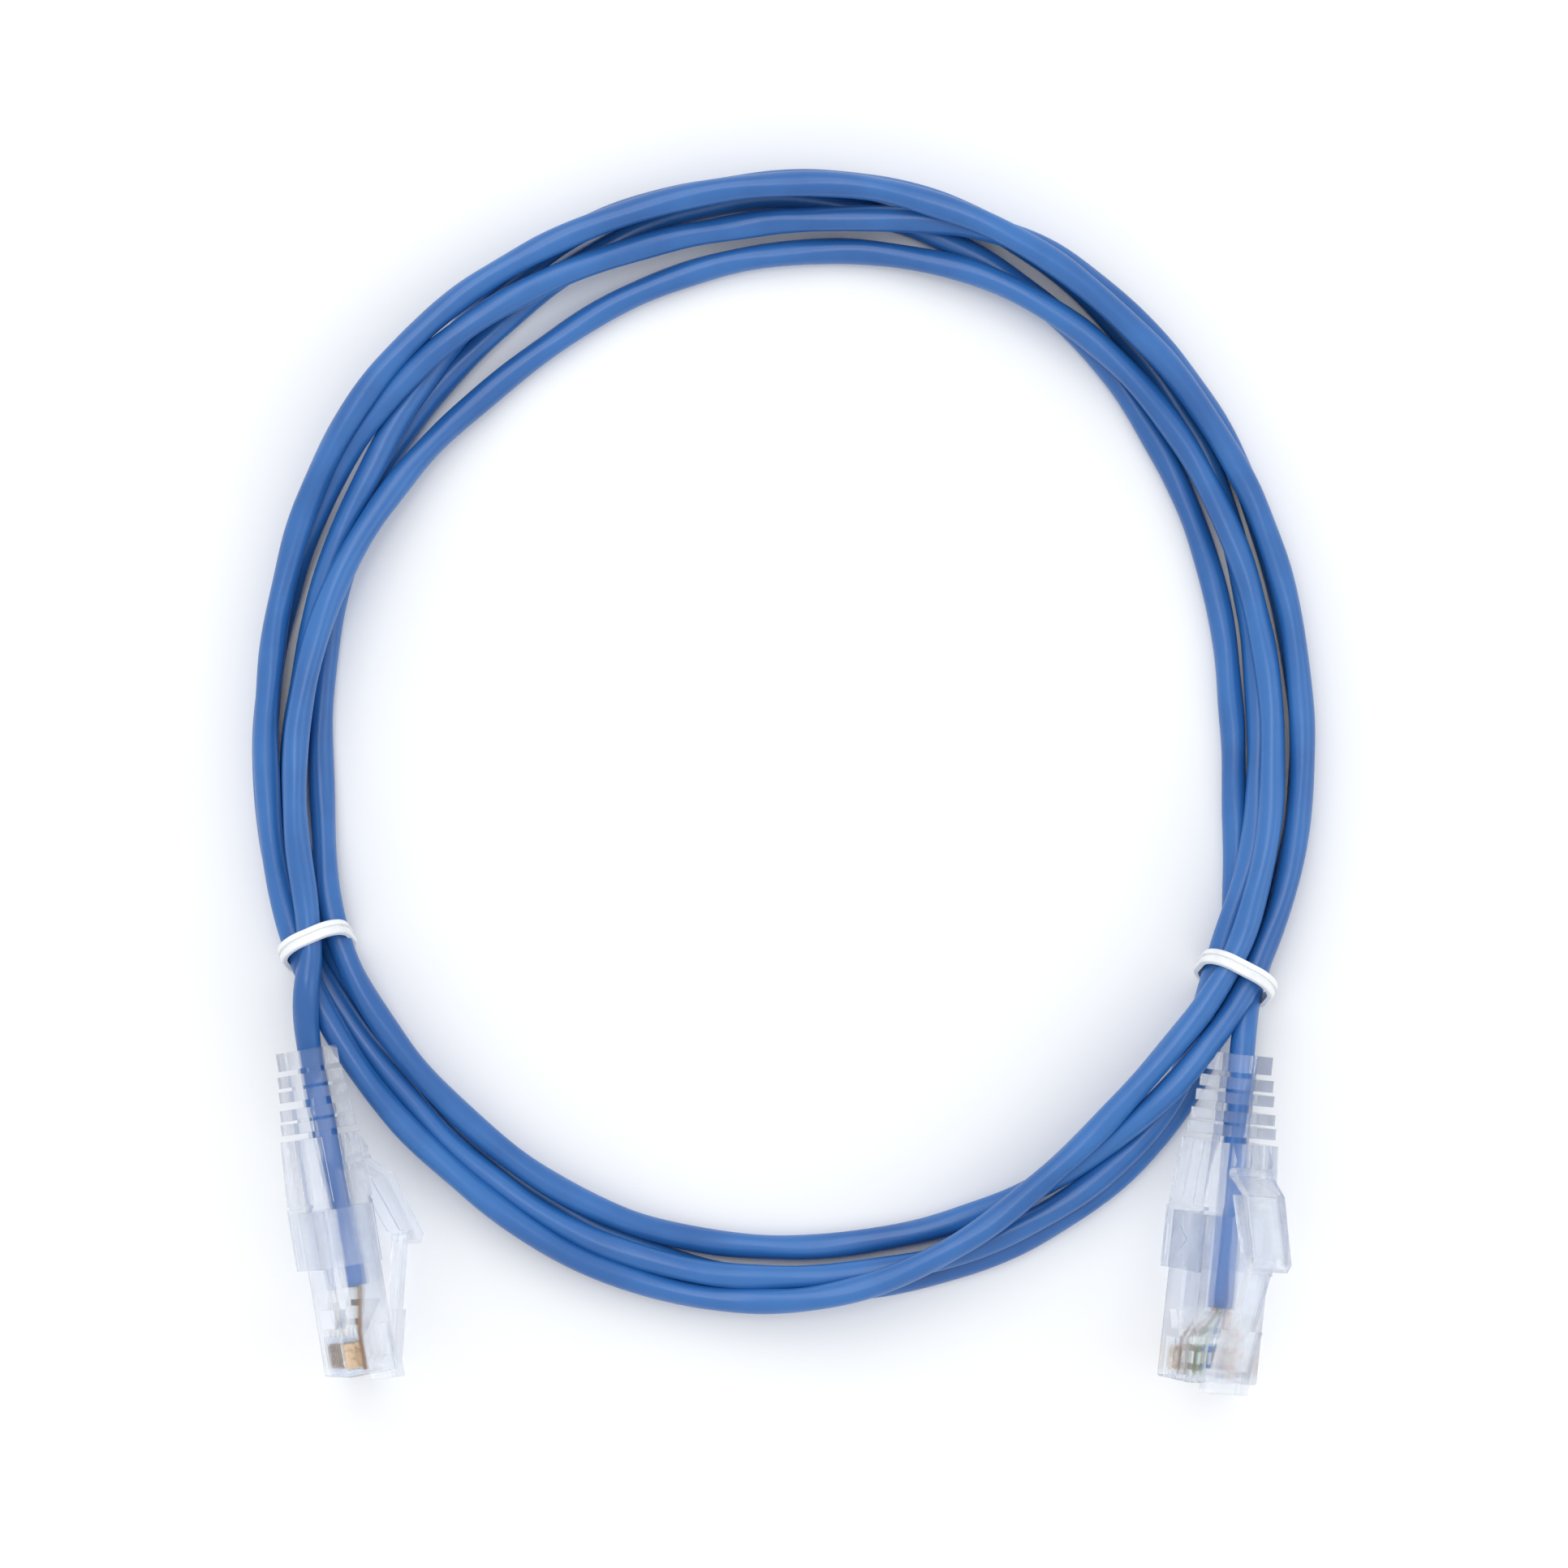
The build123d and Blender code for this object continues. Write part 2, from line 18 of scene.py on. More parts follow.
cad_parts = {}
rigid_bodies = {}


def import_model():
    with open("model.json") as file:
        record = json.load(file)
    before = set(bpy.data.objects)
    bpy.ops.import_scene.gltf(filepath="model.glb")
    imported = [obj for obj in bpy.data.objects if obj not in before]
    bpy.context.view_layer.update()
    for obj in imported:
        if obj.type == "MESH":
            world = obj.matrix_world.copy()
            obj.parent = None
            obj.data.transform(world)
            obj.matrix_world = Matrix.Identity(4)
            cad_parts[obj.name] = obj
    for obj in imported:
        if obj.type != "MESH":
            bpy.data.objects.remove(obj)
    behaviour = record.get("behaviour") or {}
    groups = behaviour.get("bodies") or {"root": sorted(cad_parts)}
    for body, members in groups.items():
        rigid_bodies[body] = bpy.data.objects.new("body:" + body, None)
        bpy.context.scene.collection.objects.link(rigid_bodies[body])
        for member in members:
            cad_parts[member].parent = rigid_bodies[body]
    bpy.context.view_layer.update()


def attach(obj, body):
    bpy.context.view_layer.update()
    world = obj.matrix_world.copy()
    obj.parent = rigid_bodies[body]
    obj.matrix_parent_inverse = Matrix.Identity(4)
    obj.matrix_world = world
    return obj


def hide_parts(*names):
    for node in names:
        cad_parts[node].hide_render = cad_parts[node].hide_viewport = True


MM = 0.001
LOG = logging.getLogger("patch_cable")

Colour = Tuple[float, float, float]
Point = Tuple[float, float, float]


# ------------------------------------------------------------------ shader maths
class Signal:
    """One shader socket that takes part in Python expressions.

    Args:
        recipe: the recipe whose node tree holds the socket.
        socket: the output socket that carries the value.
    """

    def __init__(self, recipe: "Recipe", socket: bpy.types.NodeSocket) -> None:
        """Keeps the socket and the recipe that it belongs to."""
        self.recipe = recipe
        self.socket = socket

    def math(self, operation: str, *others: "Operand", first: bool = True) -> "Signal":
        """Adds one Math node.

        Args:
            operation: the Math node's operation.
            others: the other operands.
            first: whether this signal is the first operand.

        Returns:
            The node's result.
        """
        operands = [self, *others] if first else [*others, self]
        made = self.recipe.node(
            "ShaderNodeMath", {"operation": operation}, dict(enumerate(operands))
        )
        return Signal(self.recipe, made.outputs[0])

    def __add__(self, other: "Operand") -> "Signal":
        """Sum."""
        return self.math("ADD", other)

    def __sub__(self, other: "Operand") -> "Signal":
        """Difference."""
        return self.math("SUBTRACT", other)

    def __rsub__(self, other: "Operand") -> "Signal":
        """Difference, from a number."""
        return self.math("SUBTRACT", other, first=False)

    def __mul__(self, other: "Operand") -> "Signal":
        """Product."""
        return self.math("MULTIPLY", other)

    __radd__ = __add__
    __rmul__ = __mul__

    def ramp(self, low: float, high: float) -> "Signal":
        """Maps a range to 0..1, clamped and eased at both ends.

        Args:
            low: the value that becomes 0.
            high: the value that becomes 1.

        Returns:
            The mapped signal.
        """
        made = self.recipe.node(
            "ShaderNodeMapRange",
            {"interpolation_type": "SMOOTHSTEP"},
            {"Value": self, "From Min": low, "From Max": high},
        )
        return Signal(self.recipe, made.outputs[0])


Operand = Union[Signal, float, int]


class Recipe:
    """A material under construction: its node tree, and the shader that it ends in.

    Args:
        name: the material's name.
    """

    def __init__(self, name: str) -> None:
        """Starts an empty material with an output node."""
        self.material = bpy.data.materials.new(name)
        self.material.use_nodes = True
        self.tree = self.material.node_tree
        self.tree.nodes.clear()
        self.output = self.tree.nodes.new("ShaderNodeOutputMaterial")
        self.coords = self.node("ShaderNodeTexCoord").outputs["Object"]

    def node(
        self,
        kind: str,
        settings: Optional[Dict[str, object]] = None,
        inputs: Optional[Dict[Union[int, str], object]] = None,
    ) -> bpy.types.Node:
        """Adds one node.

        Args:
            kind: the node's type.
            settings: its properties, which are set first.
            inputs: values or links of its sockets, by name or index.

        Returns:
            The new node.
        """
        made = self.tree.nodes.new(kind)
        for key, value in (settings or {}).items():
            setattr(made, key, value)
        for key, value in (inputs or {}).items():
            socket = made.inputs[key]
            if isinstance(value, Signal):
                value = value.socket
            if isinstance(value, bpy.types.NodeSocket):
                self.tree.links.new(value, socket)
            else:
                socket.default_value = value
        return made

    def noise(self, scale: float, detail: float = 3.0, roughness: float = 0.5) -> Signal:
        """Fractal noise from 0 to 1 in the piece's own space.

        Args:
            scale: cells per metre.
            detail: how many finer layers are added.
            roughness: how strong the finer layers are.

        Returns:
            The noise.
        """
        made = self.node(
            "ShaderNodeTexNoise",
            None,
            {"Vector": self.coords, "Scale": scale, "Detail": detail, "Roughness": roughness},
        )
        return Signal(self, made.outputs[0])

    def along(self, direction: Sequence[float]) -> Signal:
        """The distance along a direction of the piece's own space.

        Args:
            direction: a unit vector.

        Returns:
            The distance, in metres.
        """
        made = self.node(
            "ShaderNodeVectorMath",
            {"operation": "DOT_PRODUCT"},
            {0: self.coords, 1: tuple(direction)},
        )
        return Signal(self, made.outputs["Value"])

    def blend(self, share: Operand, low: object, high: object) -> bpy.types.NodeSocket:
        """Mixes two colours.

        Args:
            share: how much of the second colour shows.
            low: the first colour, as numbers or a socket.
            high: the second colour, as numbers or a socket.

        Returns:
            The mixed colour's socket.
        """
        made = self.node("ShaderNodeMix", {"data_type": "RGBA"})
        sockets = {"Factor": made.inputs[0], "A": made.inputs[6], "B": made.inputs[7]}
        for key, value in (("Factor", share), ("A", low), ("B", high)):
            if isinstance(value, Signal):
                value = value.socket
            if isinstance(value, bpy.types.NodeSocket):
                self.tree.links.new(value, sockets[key])
            elif key == "Factor":
                sockets[key].default_value = value
            else:
                sockets[key].default_value = (*value, 1.0)
        return made.outputs[2]

    def bump(self, height: Signal, strength: float, depth: float) -> bpy.types.NodeSocket:
        """Turns a height signal into a normal.

        Args:
            height: the signal.
            strength: how strongly it tilts the surface.
            depth: the height that a signal of 1 stands for, in metres.

        Returns:
            The normal's socket.
        """
        made = self.node(
            "ShaderNodeBump", None, {"Height": height, "Strength": strength, "Distance": depth}
        )
        return made.outputs[0]

    def shader(self, **inputs: object) -> bpy.types.Node:
        """Adds a Principled shader.

        Args:
            inputs: its sockets' values or links, with underscores for spaces in their names.

        Returns:
            The shader's node.
        """
        return self.node(
            "ShaderNodeBsdfPrincipled",
            None,
            {key.replace("_", " "): value for key, value in inputs.items()},
        )

    def finish(self, shader: bpy.types.Node) -> bpy.types.Material:
        """Links the last shader to the output.

        Args:
            shader: the shader that the material ends in.

        Returns:
            The material.
        """
        self.tree.links.new(shader.outputs[0], self.output.inputs["Surface"])
        return self.material


def rgba(colour: Colour) -> Tuple[float, float, float, float]:
    """Adds full opacity to a colour.

    Args:
        colour: red, green and blue.

    Returns:
        The colour as a shader's socket takes it.
    """
    return (*colour, 1.0)


# ------------------------------------------------------------------ finishes
@dataclass(frozen=True)
class JacketVinyl:
    """Satin blue vinyl of the jacket, with faint clouding, fine grain and light scuffs.

    Args:
        base: colour of the vinyl.
        deep: its colour in darker clouds.
        scuff: its colour where it is rubbed.
        roughness: of its surface, on average.
        cloud_scale: of the clouds, in cells per metre.
        grain_scale: of the grain.
        ripple_scale: of the uneven skin.
        rub_scale: of the scuff marks.
        rub_patch_scale: of the patches that are scuffed.
    """

    base: Colour = (0.028, 0.152, 0.445)
    deep: Colour = (0.017, 0.108, 0.350)
    scuff: Colour = (0.13, 0.30, 0.60)
    roughness: float = 0.33
    cloud_scale: float = 55.0
    grain_scale: float = 2600.0
    ripple_scale: float = 700.0
    rub_scale: float = 420.0
    rub_patch_scale: float = 38.0

    def build(self) -> bpy.types.Material:
        """Makes the material.

        Returns:
            The finished material.
        """
        r = Recipe("jacket_vinyl")
        cloud = r.noise(self.cloud_scale, 4.0)
        grain = r.noise(self.grain_scale, 2.0)
        rubs = r.noise(self.rub_scale, 5.0, 0.7).ramp(0.66, 0.80)
        rubs = rubs * r.noise(self.rub_patch_scale).ramp(0.50, 0.64)
        colour = r.blend(cloud.ramp(0.35, 0.65), self.deep, self.base)
        colour = r.blend(rubs * 0.35, colour, self.scuff)
        rough = cloud * 0.10 + grain * 0.08 + rubs * 0.12 + (self.roughness - 0.09)
        height = grain * 0.35 + r.noise(self.ripple_scale, 3.0)
        return r.finish(
            r.shader(
                Base_Color=colour,
                Roughness=rough,
                Normal=r.bump(height, 0.30, 0.00006),
                IOR=1.52,
                Specular_IOR_Level=0.55,
            )
        )


@dataclass(frozen=True)
class ClearPlastic:
    """Clear moulded plastic, with flow ripples, cloudy patches and fine handling marks.

    Part of the light goes straight through and the rest is bent, more of it at the rims. The
    rims are also mixed towards milky white, a painted sheen that stands in for their reflection.

    Args:
        name: the material's name.
        tint: colour of the clear plastic.
        clouded: its colour in cloudy patches.
        roughness: of its surface where it isn't marked.
        haze: share of milky plastic all over.
        bending: index of refraction.
        milk_and_sheen: colour of the milky plastic, and of the painted sheen at the rims.
        bent_inside: share of the light that is bent where a wall faces the eye.
        bent_rim: how much larger that share is at the rims.
        painted_rim_sheen: how much whiter the rims are made, a painted sheen standing in for
            their reflection.
        milky_cloud: how much milkier the cloudy patches are.
        rim_width: how far the rims reach in from the edges, from 0 to 1.
        rim_power: how quickly they fade away from the edges.
        flow_scale: of the moulding's ripples, in cells per metre.
        mark_scale: of the handling marks.
        cloud_scale: of the cloudy patches.
    """

    name: str
    tint: Colour
    clouded: Colour
    roughness: float
    haze: float
    bending: float = 1.38
    milk_and_sheen: Colour = (0.93, 0.94, 0.96)
    bent_inside: float = 0.50
    bent_rim: float = 0.40
    painted_rim_sheen: float = 0.16
    milky_cloud: float = 0.04
    rim_width: float = 0.25
    rim_power: float = 1.6
    flow_scale: float = 160.0
    mark_scale: float = 1500.0
    cloud_scale: float = 90.0

    def build(self) -> bpy.types.Material:
        """Makes the material.

        Returns:
            The finished material.
        """
        r = Recipe(self.name)
        flow = r.noise(self.flow_scale, 2.0)
        marks = r.noise(self.mark_scale, 4.0, 0.7)
        cloud = r.noise(self.cloud_scale, 3.0).ramp(0.42, 0.66)
        colour = r.blend(cloud, self.tint, self.clouded)
        rough = marks.ramp(0.55, 0.80) * 0.10 + cloud * 0.04 + self.roughness
        normal = r.bump(flow + marks * 0.05, 0.22, 0.0004)
        clear = r.shader(
            Base_Color=colour,
            Roughness=rough,
            Normal=normal,
            IOR=self.bending,
            Transmission_Weight=1.0,
            Specular_IOR_Level=0.6,
        )
        milky_and_sheen = r.shader(
            Base_Color=rgba(self.milk_and_sheen), Roughness=rough, Normal=normal, IOR=1.50
        )
        open_way = r.node("ShaderNodeBsdfTransparent")
        open_way.inputs["Color"].default_value = rgba(self.tint)
        rim = r.node("ShaderNodeLayerWeight")
        rim.inputs["Blend"].default_value = self.rim_width
        edge = Signal(r, rim.outputs["Facing"]).math("POWER", self.rim_power)
        body = self.mix(r, edge * self.bent_rim + self.bent_inside, open_way, clear)
        # painted sheen: the facing angle mixes the rims towards milky white to stand in for
        # their reflection; the clouds and the haze are real milkiness
        haze_and_rim_sheen = cloud * self.milky_cloud + edge * self.painted_rim_sheen + self.haze
        hazed_and_sheened = self.mix(r, haze_and_rim_sheen, body, milky_and_sheen)
        path = r.node("ShaderNodeLightPath")
        return r.finish(self.mix(r, Signal(r, path.outputs["Is Shadow Ray"]), hazed_and_sheened, open_way))

    def mix(
        self, r: "Recipe", share: "Signal", first: bpy.types.Node, second: bpy.types.Node
    ) -> bpy.types.Node:
        """Mixes two shaders.

        Args:
            r: the recipe that the nodes belong to.
            share: how much of the second.
            first: the shader at share 0.
            second: the shader at share 1.

        Returns:
            The mixing node.
        """
        mixed = r.node("ShaderNodeMixShader")
        r.tree.links.new(share.socket, mixed.inputs[0])
        r.tree.links.new(first.outputs[0], mixed.inputs[1])
        r.tree.links.new(second.outputs[0], mixed.inputs[2])
        return mixed


@dataclass(frozen=True)
class GoldPlate:
    """Gold-plated contact, duller in patches.

    Args:
        base: colour of the plating.
        dull: its colour in dull patches.
        roughness: of its bright parts.
        patch_scale: of the dull patches, in cells per metre.
        grain_scale: of its fine grain.
    """

    base: Colour = (0.66, 0.46, 0.28)
    dull: Colour = (0.40, 0.28, 0.18)
    roughness: float = 0.20
    patch_scale: float = 900.0
    grain_scale: float = 5200.0

    def build(self) -> bpy.types.Material:
        """Makes the material.

        Returns:
            The finished material.
        """
        r = Recipe("gold_plate")
        patches = r.noise(self.patch_scale, 4.0).ramp(0.45, 0.70)
        grain = r.noise(self.grain_scale, 2.0)
        return r.finish(
            r.shader(
                Base_Color=r.blend(patches, self.base, self.dull),
                Metallic=1.0,
                Roughness=patches * 0.16 + grain * 0.10 + self.roughness,
                Normal=r.bump(grain, 0.15, 0.00002),
            )
        )


@dataclass(frozen=True)
class WireInsulation:
    """Insulation of one wire: plain, or pale with rings of the pair's colour.

    Args:
        name: the colour's name.
        colour: the pair's colour.
        striped: whether the wire is the pale one of its pair.
        along: the wire's direction, for the rings.
        pale: colour between the rings.
        ring_pitch: distance from ring to ring, in metres.
        shade: brightness of the darker mottles, as a share.
        roughness: of its smoothest parts.
        mottle_scale: of the mottles, in cells per metre.
    """

    name: str
    colour: Colour
    striped: bool
    along: Point
    pale: Colour = (0.80, 0.79, 0.75)
    ring_pitch: float = 0.0024
    shade: float = 0.82
    roughness: float = 0.34
    mottle_scale: float = 800.0

    def build(self) -> bpy.types.Material:
        """Makes the material.

        Returns:
            The finished material.
        """
        r = Recipe(f"wire_{'pale_' if self.striped else ''}{self.name}")
        mottle = r.noise(self.mottle_scale, 3.0)
        darker = tuple(self.shade * c for c in self.colour)
        colour = r.blend(mottle, darker, self.colour)
        if self.striped:
            waves = (r.along(self.along) * (2 * math.pi / self.ring_pitch)).math("SINE")
            colour = r.blend(waves.ramp(0.35, 0.55), self.pale, colour)
        return r.finish(
            r.shader(
                Base_Color=colour,
                Roughness=mottle * 0.12 + self.roughness,
                Normal=r.bump(mottle, 0.20, 0.00003),
            )
        )


@dataclass(frozen=True)
class TieVinyl:
    """Glossy white vinyl of the ties, a little greyed in patches by handling.

    Args:
        base: colour of the clean vinyl.
        greyed: its colour in handled patches.
        roughness: of its clean parts.
        grime_scale: of the handled patches, in cells per metre.
        ripple_scale: of the uneven skin.
    """

    base: Colour = (0.86, 0.87, 0.88)
    greyed: Colour = (0.70, 0.72, 0.75)
    roughness: float = 0.20
    grime_scale: float = 380.0
    ripple_scale: float = 900.0

    def build(self) -> bpy.types.Material:
        """Makes the material.

        Returns:
            The finished material.
        """
        r = Recipe("tie_vinyl")
        grime = r.noise(self.grime_scale, 4.0).ramp(0.48, 0.74)
        ripple = r.noise(self.ripple_scale, 2.0)
        return r.finish(
            r.shader(
                Base_Color=r.blend(grime * 0.6, self.base, self.greyed),
                Roughness=grime * 0.14 + ripple * 0.08 + self.roughness,
                Normal=r.bump(ripple, 0.25, 0.00008),
                IOR=1.5,
            )
        )


@dataclass(frozen=True)
class TableTop:
    """Plain pale table under the cable.

    Args:
        base: colour of the table.
        darker: brightness of its darker tone, as a share.
        roughness: of its surface.
        tone_scale: of its uneven tone, in cells per metre.
    """

    base: Colour = (0.93, 0.93, 0.935)
    darker: float = 0.985
    roughness: float = 0.75
    tone_scale: float = 6.0

    def build(self) -> bpy.types.Material:
        """Makes the material.

        Returns:
            The finished material.
        """
        r = Recipe("table_top")
        tone = r.noise(self.tone_scale, 2.0)
        colour = r.blend(tone, self.base, tuple(self.darker * c for c in self.base))
        return r.finish(r.shader(Base_Color=colour, Roughness=self.roughness))


# ------------------------------------------------------------------ the cord's route
@dataclass(frozen=True)
class Turn:
    """One loose turn of the cord.

    The stations start at the left tie, reach the right one after the far side, and come back
    along the near side.

    Args:
        radii: distance of the cord's middle from the coil's, at each station, in millimetres.
        heights: the middle's height at each station.
    """

    radii: Tuple[float, ...]
    heights: Tuple[float, ...]


@dataclass(frozen=True)
class CoilRoute:
    """The whole route of the jacket, from the left plug round the coil to the right plug.

    Args:
        centre: the coil's centre, in millimetres.
        left_tie: angle of the left tie, in degrees clockwise from the far side.
        right_tie: angle of the right tie, one turn on.
        far_steps: stations from the left tie round the far side to the right one.
        near_steps: stations from there back along the near side.
        lead_in: points through the left plug and boot, in millimetres.
        lead_out: points through the right boot and plug.
        turns: the coil's turns in order.
    """

    centre: Tuple[float, float] = (0.0, 5.05)
    left_tie: float = 246.7
    right_tie: float = 117.3 + 360.0
    far_steps: int = 15
    near_steps: int = 9
    lead_in: Tuple[Point, ...] = (
        (-55.44, -64.73, 7.37),
        (-57.49, -54.30, 7.03),
        (-59.54, -43.86, 6.70),
        (-61.59, -33.42, 6.37),
        (-61.5, -26.5, 9.7),
    )
    lead_out: Tuple[Point, ...] = (
        (59.7, -30.6, 5.7),
        (58.85, -37.5, 7.03),
        (58.17, -45.04, 7.40),
        (57.14, -56.27, 7.94),
        (56.12, -67.50, 8.48),
    )
    turns: Tuple[Turn, ...] = (
        Turn(
            (66.2, 64.0, 63.0, 61.7, 60.7, 60.2, 62.0, 64.0, 65.7, 66.9, 66.5, 65.2,
             64.2, 63.7, 64.1, 65.0, 63.4, 65.0, 68.8, 72.3, 73.0, 72.1, 70.4, 69.6),
            (7.4, 8.3, 7.3, 7.2, 3.4, 1.6, 1.6, 1.6, 1.6, 4.5, 4.8, 4.4,
             4.9, 4.7, 7.4, 7.5, 8.8, 7.8, 7.8, 6.8, 3.8, 5.0, 5.9, 6.6),
        ),
        Turn(
            (69.0, 67.8, 67.6, 69.2, 71.2, 72.0, 72.1, 72.6, 73.5, 72.4, 70.8, 69.5,
             68.5, 67.6, 68.1, 68.2, 67.2, 66.7, 66.3, 65.9, 65.9, 65.3, 64.3, 63.6),
            (5.0, 4.9, 4.8, 5.2, 8.0, 7.0, 6.3, 8.0, 7.7, 8.5, 6.9, 5.0,
             4.8, 4.8, 5.0, 5.7, 8.9, 4.6, 1.6, 1.6, 1.8, 4.1, 4.4, 6.4),
        ),
        Turn(
            (63.8, 60.8, 61.0, 62.4, 64.5, 66.1, 69.1, 72.5, 71.0, 68.3, 65.5, 61.9,
             60.1, 58.5, 60.2, 65.7, 70.5, 72.0, 72.2, 71.6, 69.6, 67.5, 66.0, 65.4),
            (5.7, 1.6, 1.6, 1.6, 1.6, 1.6, 1.6, 1.6, 1.6, 1.6, 1.6, 1.6,
             1.6, 1.6, 1.6, 2.4, 1.6, 1.6, 1.6, 1.6, 1.6, 1.6, 1.6, 1.6),
        ),
        Turn(
            (64.6, 65.4, 63.2, 63.9, 65.3, 69.4, 72.9, 73.0, 74.4, 73.1, 69.9, 67.0,
             63.8, 62.1, 62.6, 62.7, 68.9, 70.2, 70.2, 69.6, 69.6, 69.3, 68.1, 66.8),
            (2.2, 2.0, 4.1, 4.5, 4.9, 2.9, 2.8, 5.1, 3.2, 1.6, 1.6, 1.6,
             1.6, 1.7, 4.9, 5.0, 4.6, 4.6, 4.4, 4.3, 5.0, 4.4, 4.1, 4.8),
        ),
        Turn(
            (68.2, 68.5, 67.9, 68.2, 68.8, 68.4, 67.7, 68.0, 69.6, 73.6, 72.1, 70.4,
             68.0, 68.0, 68.0, 68.3),
            (2.1, 1.7, 1.6, 1.9, 6.2, 7.3, 4.7, 3.1, 5.1, 5.0, 4.0, 1.8,
             1.6, 1.6, 1.7, 2.5),
        ),
    )

    def angle(self, station: int) -> float:
        """The angle of a station of a turn.

        Args:
            station: its number in the turn, 0 at the left tie.

        Returns:
            The angle, in degrees clockwise from the far side.
        """
        far_step = (self.right_tie - self.left_tie) / self.far_steps
        near_step = (self.left_tie + 360.0 - self.right_tie) / self.near_steps
        far = min(station, self.far_steps)
        return self.left_tie + far_step * far + near_step * (station - far)

    def points(self) -> List[Vector]:
        """Works out the route.

        Returns:
            Its points in metres, plug to plug.
        """
        route = [Vector(p) for p in self.lead_in]
        for turn in self.turns:
            for station, (radius, height) in enumerate(zip(turn.radii, turn.heights)):
                a = math.radians(self.angle(station))
                route.append(
                    Vector(
                        (
                            self.centre[0] + radius * math.sin(a),
                            self.centre[1] + radius * math.cos(a),
                            height,
                        )
                    )
                )
        route += [Vector(p) for p in self.lead_out]
        return [p * MM for p in route]


